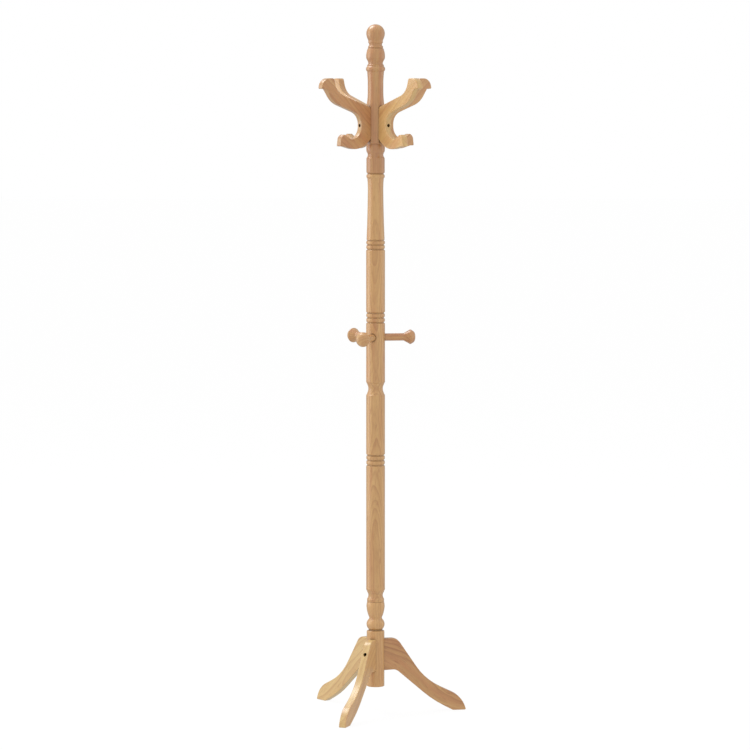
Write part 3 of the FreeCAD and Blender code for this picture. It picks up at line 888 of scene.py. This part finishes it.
def steel(name, colour, rough):
    """Plated or blackened steel with faint turning marks and uneven gloss, and painted shade where
    other surfaces lie close.
    """
    nodes = Nodes(name)
    where = nodes.add("TexCoord", {}).outputs["Object"]
    marks = nodes.noise(where, (900, 900, 900), 4, 0.7)
    shade = nodes.remap(marks, 0.2, 0.8, 0.85, 1.1)
    # Painted shade: the steel is darker where other surfaces lie close.
    painted_shade = nodes.add("AmbientOcclusion", {"Distance": STEEL_PAINTED_SHADE_REACH}, samples=PAINTED_SHADE_SAMPLES)
    marks_and_painted_shade = nodes.math("MULTIPLY", shade, nodes.remap(painted_shade.outputs["AO"], 0.1, 0.9, 0.15, 1))
    tint = nodes.add("VectorMath", {0: colour[:3], "Scale": marks_and_painted_shade}, operation="SCALE").outputs[0]
    nodes.put(nodes.shader.inputs["Base Color"], tint)
    nodes.shader.inputs["Metallic"].default_value = 1.0
    gloss = nodes.remap(marks, 0.2, 0.8, rough - 0.06, rough + 0.08)
    nodes.put(nodes.shader.inputs["Roughness"], gloss)
    bump = nodes.add("Bump", {"Height": marks, "Strength": 0.1, "Distance": 0.0001})
    nodes.put(nodes.shader.inputs["Normal"], bump.outputs[0])
    return nodes.material


def paint(obj, material):
    """Gives the object this material and no other."""
    obj.data.materials.clear()
    obj.data.materials.append(material)


# ---- pieces -----------------------------------------------------------------------------------


def finish_piece(obj, node):
    """Gives the piece its wood and the CAD node's place, on the rack's one body."""
    paint(obj, wood("wood_" + node, **WOODS[node]))
    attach(obj, "root")
    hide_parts(node)


def make_upper_post():
    """Top section, with a flat and bores for each hook."""
    post = soften_edges(lathe("upper_post_wood", UPPER_PROFILE, upright_place))
    cutters = [upright_rod(*stud_bore(UPPER_JOINT))]
    beyond = POST_RADIUS + CUT_MARGIN
    for angle in HOOK_ANGLES.values():
        low = (HOOK_SEAT, -beyond, HOOK_FLAT_BOTTOM)
        cutters.append(block(low, (beyond, beyond, HOOK_FLAT_TOP), angle))
        for bore in (HOOK_SCREW_BORE, *HOOK_DOWEL_BORES):
            cutters.append(rod(*bore, angle))
    finish_mesh(post, cutters)
    finish_piece(post, "upper_post")


def make_middle_post():
    """Long section, with a bore and a screw hole for each peg."""
    post = soften_edges(lathe("middle_post_wood", middle_profile(), upright_place))
    axial = (*stud_insert_bores(UPPER_JOINT), stud_bore(LOWER_JOINT))
    cutters = [upright_rod(*bore) for bore in axial]
    for angle in LEG_ANGLES.values():
        for bore in (PEG_BORE, PEG_SCREW_BORE):
            cutters.append(rod(*bore, angle))
    finish_mesh(post, cutters)
    finish_piece(post, "middle_post")


def make_lower_post():
    """Base section, with a housing and bores for each leg."""
    post = soften_edges(lathe("lower_post_wood", LOWER_PROFILE, upright_place))
    cutters = [upright_rod(*bore) for bore in stud_insert_bores(LOWER_JOINT)]
    half = LEG_THICKNESS / 2
    for angle in LEG_ANGLES.values():
        low = (LEG_SEAT, -half, LEG_HOUSING_BOTTOM)
        cutters.append(block(low, (POST_RADIUS + CUT_MARGIN, half, LEG_TOP), angle))
        for bore in (LEG_BOLT_BORE, LEG_DOWEL_BORE, LEG_INSERT_BORE):
            cutters.append(rod(*bore, angle))
    finish_mesh(post, cutters)
    finish_piece(post, "lower_post")


def make_hooks():
    """Four sawn double hooks, each bored for its screw and its two dowels."""
    bores = (HOOK_COUNTERBORE, HOOK_SCREW_BORE, *HOOK_DOWEL_BORES)
    for side, angle in HOOK_ANGLES.items():
        hook = board("hook_" + side + "_wood", HOOK_OUTLINE, HOOK_THICKNESS, HOOK_SEAT)
        finish_mesh(hook, [rod(*bore, 0) for bore in bores])
        turned(hook, angle)
        finish_piece(hook, "hook_" + side)


def make_legs():
    """Three sawn legs, each bored for its bolt and its dowel."""
    bores = (LEG_COUNTERBORE, LEG_BOLT_BORE, LEG_DOWEL_BORE)
    for side, angle in LEG_ANGLES.items():
        leg = board("leg_" + side + "_wood", LEG_OUTLINE, LEG_THICKNESS, LEG_SEAT)
        finish_mesh(leg, [rod(*bore, 0) for bore in bores])
        turned(leg, angle)
        finish_piece(leg, "leg_" + side)


def make_pegs():
    """Three turned pegs, one above each leg."""
    for side, angle in LEG_ANGLES.items():
        peg = soften_edges(lathe("peg_" + side + "_wood", PEG_PROFILE, radial_place))
        finish_mesh(peg, [rod(*PEG_SCREW_BORE, 0)])
        turned(peg, angle)
        finish_piece(peg, "peg_" + side)


def dress_hardware():
    """The hardware keeps its CAD shape and gets the material of its slot."""
    materials = {
        "dark_steel": steel("black_oxide_steel", linear(34, 31, 28), rough=0.5),
        "zinc_steel": steel("zinc_plated_steel", linear(196, 196, 190), rough=0.3),
        "dowel_wood": wood("dowel_beech", **DOWEL_WOOD),
    }
    for part in frame["record"]["subparts"]:
        slot = part["material_slot"]
        if slot in materials:
            paint(frame["nodes"][part["node"]], materials[slot])


# ---- studio -----------------------------------------------------------------------------------

LIGHT_AIM = Vector((0, 0, 1.0))
STAGE_RADIUS = 40.0
STAGE_SIDES = 48
DOME_RINGS = 12


def area_light(name, azimuth, elevation, distance, width, height, power):
    """Soft box aimed at the rack's middle, placed by its angle round the rack."""
    data = bpy.data.lights.new(name, "AREA")
    data.shape = "RECTANGLE"
    data.size = width
    data.size_y = height
    data.energy = power
    light = bpy.data.objects.new(name, data)
    round_z = math.radians(azimuth)
    up = math.radians(elevation)
    flat = math.cos(up)
    back = Vector((math.sin(round_z) * flat, -math.cos(round_z) * flat, math.sin(up)))
    light.location = LIGHT_AIM + back * distance
    light.rotation_mode = "QUATERNION"
    light.rotation_quaternion = (-back).to_track_quat("-Z", "Y")
    bpy.context.scene.collection.objects.link(light)


def glowing_white(name, glow, albedo):
    """Paper-white stage material, bright mostly by its own glow, so that no horizon shows."""
    nodes = Nodes(name)
    nodes.shader.inputs["Base Color"].default_value = (albedo, albedo, albedo, 1)
    nodes.shader.inputs["Emission Color"].default_value = (1, 1, 1, 1)
    nodes.shader.inputs["Emission Strength"].default_value = glow
    nodes.shader.inputs["Roughness"].default_value = 1.0
    nodes.shader.inputs["Specular IOR Level"].default_value = 0.0
    return nodes.material


def make_floor():
    """White floor that takes a faint shadow of the rack."""
    bm = bmesh.new()
    around = circle(STAGE_SIDES)
    rim = [bm.verts.new((STAGE_RADIUS * c, STAGE_RADIUS * s, 0)) for c, s in around]
    bm.faces.new(rim)
    floor = new_object("floor", bm)
    paint(floor, glowing_white("floor_white", glow=0.93, albedo=0.07))
    return floor


def make_dome():
    """White dome that stands on the floor's rim, closed by a flat face at its top."""
    bm = bmesh.new()
    rings = []
    for k in range(DOME_RINGS):
        tilt = math.pi / 2 * k / DOME_RINGS
        flat = STAGE_RADIUS * math.cos(tilt)
        height = STAGE_RADIUS * math.sin(tilt)
        rings.append([bm.verts.new((flat * c, flat * s, height)) for c, s in circle(STAGE_SIDES)])
    skin(bm, rings)
    bm.faces.new(rings[-1])
    dome = new_object("backdrop", bm)
    paint(dome, glowing_white("backdrop_white", glow=1.0, albedo=0.0))
    return dome


def make_stage():
    """Floor and dome. Neither lights the rack, shows in its gloss or shades it."""
    for obj in (make_floor(), make_dome()):
        obj.visible_diffuse = False
        obj.visible_glossy = False
        obj.visible_shadow = False


def directed_share(tree, direction, axis, start, end, at_start, at_end):
    """Strength that runs from at_start to at_end as directions turn towards the axis, between two
    cosines of the angle to it."""
    along = tree.nodes.new("ShaderNodeVectorMath")
    along.operation = "DOT_PRODUCT"
    along.inputs[1].default_value = axis
    tree.links.new(direction, along.inputs[0])
    share = tree.nodes.new("ShaderNodeMapRange")
    share.inputs["From Min"].default_value = start
    share.inputs["From Max"].default_value = end
    share.inputs["To Min"].default_value = at_start
    share.inputs["To Max"].default_value = at_end
    tree.links.new(along.outputs["Value"], share.inputs["Value"])
    return share.outputs["Result"]


def make_world():
    """Soft white light from all round: dimmer behind the rack, brighter from the ceiling."""
    world = bpy.data.worlds.new("studio")
    world.use_nodes = True
    tree = world.node_tree
    background = tree.nodes["Background"]
    background.inputs["Color"].default_value = (1, 1, 1, 1)
    direction = tree.nodes.new("ShaderNodeTexCoord").outputs["Generated"]
    behind = (-math.sin(VIEW_AZIMUTH), math.cos(VIEW_AZIMUTH), 0)
    up = (0, 0, 1)
    walls = directed_share(tree, direction, behind, start=0.0, end=0.8, at_start=0.9, at_end=0.5)
    ceiling = directed_share(tree, direction, up, start=0.5, end=0.9, at_start=0.0, at_end=0.25)
    total = tree.nodes.new("ShaderNodeMath")
    total.operation = "ADD"
    tree.links.new(walls, total.inputs[0])
    tree.links.new(ceiling, total.inputs[1])
    tree.links.new(total.outputs[0], background.inputs["Strength"])
    bpy.context.scene.world = world


def make_studio():
    """Light from all round, with a soft box high up behind on the left, a taller one on the left
    and a weak one on the right."""
    make_world()
    view = math.degrees(VIEW_AZIMUTH)
    area_light("overhead", view - 120, elevation=60, distance=4.5, width=2.2, height=2.2, power=100)
    area_light("left_side", view - 91, elevation=8, distance=3.5, width=2.2, height=2.8, power=33)
    area_light("right_side", view + 100, elevation=10, distance=3.5, width=1.5, height=2.5, power=8)


make_camera()
make_upper_post()
make_middle_post()
make_lower_post()
make_hooks()
make_legs()
make_pegs()
dress_hardware()
make_stage()
make_studio()
bpy.context.scene.view_settings.view_transform = "Standard"

bpy.context.view_layer.update()
